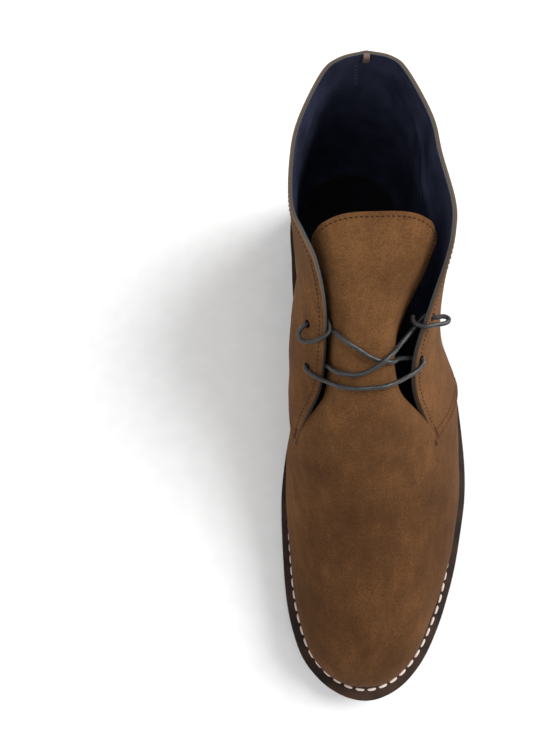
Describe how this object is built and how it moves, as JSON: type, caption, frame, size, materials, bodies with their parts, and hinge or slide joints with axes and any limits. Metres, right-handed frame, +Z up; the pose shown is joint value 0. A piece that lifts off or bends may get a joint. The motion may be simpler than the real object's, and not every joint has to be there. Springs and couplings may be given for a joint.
{
  "type": "chukka boot",
  "caption": "Left chukka boot with an ankle-high hollow upper, vamp and overlapping quarters, tongue, round cord lace, stitched welt and a low stacked heel.",
  "frame": {"origin": "on the floor, under the middle of the sole's outline", "axes": "+Y from the toe to the heel, +Z up, +X to the outer side of the foot"},
  "size_m": [0.1042, 0.297, 0.1297],
  "materials": {
    "sole_leather": "dark stained edge",
    "heel_rubber": "matt",
    "welt_leather": "dark brown, fine grain",
    "sock_leather": "smooth, near black",
    "suede": "tobacco brown suede nap",
    "tab_leather": "smooth",
    "lace_cord": "waxed round cord"
  },
  "bodies": {
    "root": {"outsole": "sole_leather", "heel_block": "sole_leather", "heel_top_piece": "heel_rubber", "welt": "welt_leather", "insole": "sock_leather", "upper": "suede", "tongue": "suede", "back_tab": "tab_leather", "lace_bar": "lace_cord", "lace_crossing": "lace_cord", "lace_loop_medial": "lace_cord", "lace_loop_lateral": "lace_cord"}
  },
  "joints": []
}
